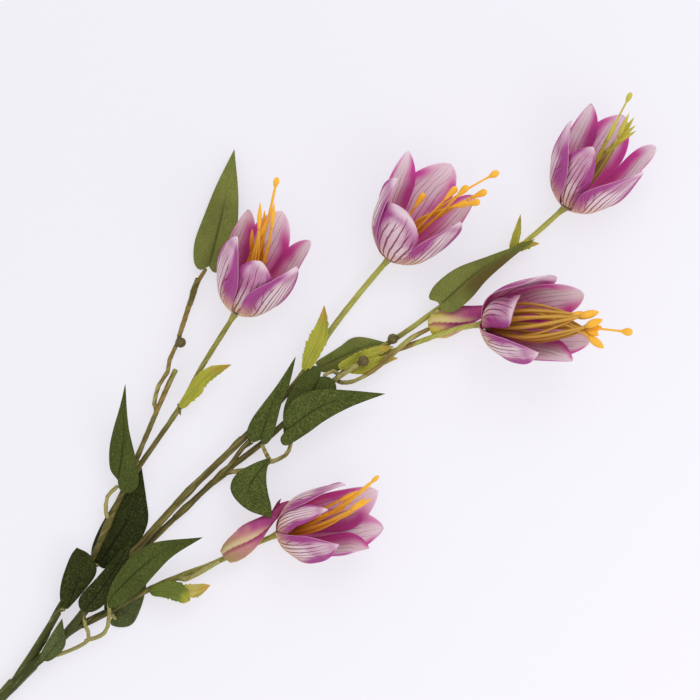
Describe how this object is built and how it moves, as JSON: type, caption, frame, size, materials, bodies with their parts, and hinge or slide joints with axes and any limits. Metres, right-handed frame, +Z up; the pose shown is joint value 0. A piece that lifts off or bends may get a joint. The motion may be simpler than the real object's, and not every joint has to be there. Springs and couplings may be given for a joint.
{
  "type": "fritillary flower",
  "caption": "Cut branching fritillary spray lying down: open six-petalled veined magenta cups with long stamens, closed buds, heart-based leaves and small bracts.",
  "frame": {"origin": "centre of the footprint on the surface that the spray lies on", "axes": "+X along the stem from its cut end towards the flowers, +Z up from the surface"},
  "size_m": [0.5432, 0.2222, 0.0681],
  "materials": {
    "petal": "printed satin cloth, white to magenta with brown veins",
    "bud": "printed satin cloth, yellow-green base to pink tip",
    "stamen": "satin orange",
    "green_stamen": "satin yellow-green",
    "leaf": "matte, dark green with pale net veins",
    "olive_leaf": "matte, olive, the paler underside of a leaf",
    "bract": "matte, yellow-green",
    "stem": "satin, dark green with brown patches",
    "branch": "satin, brown to yellow-green"
  },
  "bodies": {
    "root": {"flower_1_petal_1": "petal", "flower_1_petal_2": "petal", "flower_1_petal_3": "petal", "flower_1_petal_4": "petal", "flower_1_petal_5": "petal", "flower_1_petal_6": "petal", "flower_2_petal_1": "petal", "flower_2_petal_2": "petal", "flower_2_petal_3": "petal", "flower_2_petal_4": "petal", "flower_2_petal_5": "petal", "flower_2_petal_6": "petal", "flower_3_petal_1": "petal", "flower_3_petal_2": "petal", "flower_3_petal_3": "petal", "flower_3_petal_4": "petal", "flower_3_petal_5": "petal", "flower_3_petal_6": "petal", "flower_4_petal_1": "petal", "flower_4_petal_2": "petal", "flower_4_petal_3": "petal", "flower_4_petal_4": "petal", "flower_4_petal_5": "petal", "flower_4_petal_6": "petal", "flower_5_petal_1": "petal", "flower_5_petal_2": "petal", "flower_5_petal_3": "petal", "flower_5_petal_4": "petal", "flower_5_petal_5": "petal", "flower_5_petal_6": "petal", "flower_1_stamens": "stamen", "flower_2_stamens": "stamen", "flower_3_stamens": "green_stamen", "flower_4_stamens": "stamen", "flower_5_stamens": "stamen", "bud_1": "bud", "bud_2": "bud", "main_stem": "stem", "left_branch": "branch", "right_branch": "branch", "lower_branch": "branch", "leaf_1": "olive_leaf", "leaf_2": "leaf", "leaf_3": "leaf", "leaf_4": "leaf", "leaf_5": "leaf", "leaf_6": "leaf", "leaf_7": "leaf", "leaf_8": "leaf", "leaf_9": "leaf", "leaf_10": "leaf", "leaf_11": "leaf", "leaf_12": "olive_leaf", "leaf_13": "leaf", "leaf_14": "olive_leaf", "bract_1": "bract", "bract_2": "bract", "bract_3": "bract", "bract_4": "bract", "bract_5": "bract"}
  },
  "joints": []
}
